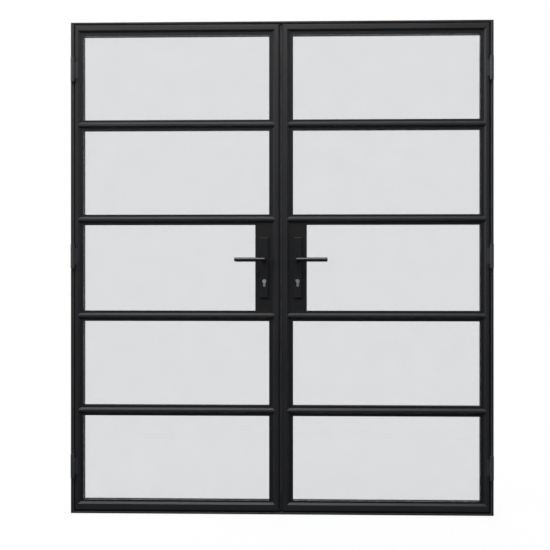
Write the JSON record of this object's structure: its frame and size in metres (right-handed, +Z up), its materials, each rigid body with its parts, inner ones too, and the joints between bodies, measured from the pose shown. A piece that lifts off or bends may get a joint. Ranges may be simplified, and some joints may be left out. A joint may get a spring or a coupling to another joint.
{
  "type": "french doors",
  "caption": "Pair of outward-opening glazed doors in a slim black frame, with bevelled glazing bars, lever handles on long plates and barrel hinges.",
  "frame": {"origin": "middle of the sill's underside, at the middle of the frame's depth", "axes": "+Z up, +X across to the right seen from outside, -Y towards the outside, where the leaves open"},
  "size_m": [1.8, 0.1494, 2.1],
  "materials": {
    "frame_black": "satin black powder coat",
    "leaf_black": "satin black powder coat",
    "handle_black": "satin black",
    "hinge_metal": "satin dark grey",
    "cylinder_metal": "satin nickel",
    "steel": "zinc plated",
    "rubber": "matt black",
    "glass": "clear"
  },
  "bodies": {
    "root": {"head": "frame_black", "sill": "frame_black", "left_jamb": "frame_black", "right_jamb": "frame_black", "frame_corner_cleats": "steel", "frame_seal": "rubber", "hinge_frame_knuckles": "hinge_metal", "hinge_pins": "steel", "shoot_bolt_keeps": "steel"},
    "left_leaf": {"left_hinge_stile": "leaf_black", "left_meeting_stile": "leaf_black", "left_top_rail": "leaf_black", "left_bottom_rail": "leaf_black", "left_glazing_bars": "leaf_black", "left_pane_1": "glass", "left_pane_2": "glass", "left_pane_3": "glass", "left_pane_4": "glass", "left_pane_5": "glass", "left_glazing_beads": "leaf_black", "left_glazing_rubbers": "rubber", "left_corner_cleats": "steel", "left_hinge_leaf_knuckles": "hinge_metal", "left_lock_box": "leaf_black", "left_meeting_seal": "rubber", "left_lock_case": "steel", "left_strike_plate": "steel", "left_handle_plates": "handle_black", "left_cylinder_body": "cylinder_metal"},
    "left_lever": {"left_lever_outside": "handle_black", "left_lever_inside": "handle_black", "left_spindle": "steel"},
    "left_key_plug": {"left_cylinder_plug": "cylinder_metal"},
    "right_leaf": {"right_hinge_stile": "leaf_black", "right_meeting_stile": "leaf_black", "right_top_rail": "leaf_black", "right_bottom_rail": "leaf_black", "right_glazing_bars": "leaf_black", "right_pane_1": "glass", "right_pane_2": "glass", "right_pane_3": "glass", "right_pane_4": "glass", "right_pane_5": "glass", "right_glazing_beads": "leaf_black", "right_glazing_rubbers": "rubber", "right_corner_cleats": "steel", "right_hinge_leaf_knuckles": "hinge_metal", "right_lock_box": "leaf_black", "right_meeting_seal": "rubber", "right_lock_case": "steel", "right_handle_plates": "handle_black", "right_cylinder_body": "cylinder_metal"},
    "right_lever": {"right_lever_outside": "handle_black", "right_lever_inside": "handle_black", "right_spindle": "steel"},
    "right_key_plug": {"right_cylinder_plug": "cylinder_metal"},
    "left_top_bolt": {"left_top_bolt": "steel"},
    "left_bottom_bolt": {"left_bottom_bolt": "steel"},
    "right_latch": {"right_latch_bolt": "steel"},
    "right_deadbolt": {"right_deadbolt": "steel"}
  },
  "joints": [
    {"name": "left_leaf_swing", "type": "hinge", "parent": "root", "child": "left_leaf", "pos_m": [-0.8905, -0.034, 0], "axis": [0, 0, -1], "range_deg": [0, 105]},
    {"name": "left_lever_turn", "type": "hinge", "parent": "left_leaf", "child": "left_lever", "pos_m": [-0.071, 0, 1.085], "axis": [0, 1, 0], "range_deg": [0, 40], "stiffness_Nm_per_rad": 1.2, "springref_deg": -68.75},
    {"name": "left_key_turn", "type": "hinge", "parent": "left_leaf", "child": "left_key_plug", "pos_m": [-0.071, 0, 0.993], "axis": [0, -1, 0], "range_deg": [0, 360]},
    {"name": "right_leaf_swing", "type": "hinge", "parent": "root", "child": "right_leaf", "pos_m": [0.8905, -0.034, 0], "axis": [0, 0, 1], "range_deg": [0, 105]},
    {"name": "right_lever_turn", "type": "hinge", "parent": "right_leaf", "child": "right_lever", "pos_m": [0.071, 0, 1.085], "axis": [0, 1, 0], "range_deg": [0, 40], "stiffness_Nm_per_rad": 1.2, "springref_deg": -68.75},
    {"name": "right_key_turn", "type": "hinge", "parent": "right_leaf", "child": "right_key_plug", "pos_m": [0.071, 0, 0.993], "axis": [0, -1, 0], "range_deg": [0, 360]},
    {"name": "left_top_bolt_slide", "type": "slide", "parent": "left_leaf", "child": "left_top_bolt", "axis": [0, 0, 1], "range_m": [0, 0.016]},
    {"name": "left_bottom_bolt_slide", "type": "slide", "parent": "left_leaf", "child": "left_bottom_bolt", "axis": [0, 0, -1], "range_m": [0, 0.016]},
    {"name": "right_latch_slide", "type": "slide", "parent": "right_leaf", "child": "right_latch", "axis": [1, 0, 0], "range_m": [-0.009, 0.0035]},
    {"name": "right_deadbolt_slide", "type": "slide", "parent": "right_leaf", "child": "right_deadbolt", "axis": [-1, 0, 0], "range_m": [0, 0.0215]}
  ],
  "couplings": [
    {"joint": "left_top_bolt_slide", "follows": "left_lever_turn", "m_per_rad": 0.0229},
    {"joint": "left_bottom_bolt_slide", "follows": "left_lever_turn", "m_per_rad": 0.0229},
    {"joint": "right_latch_slide", "follows": "right_lever_turn", "m_per_rad": 0.005},
    {"joint": "right_deadbolt_slide", "follows": "right_key_turn", "m_per_rad": 0.00318}
  ]
}
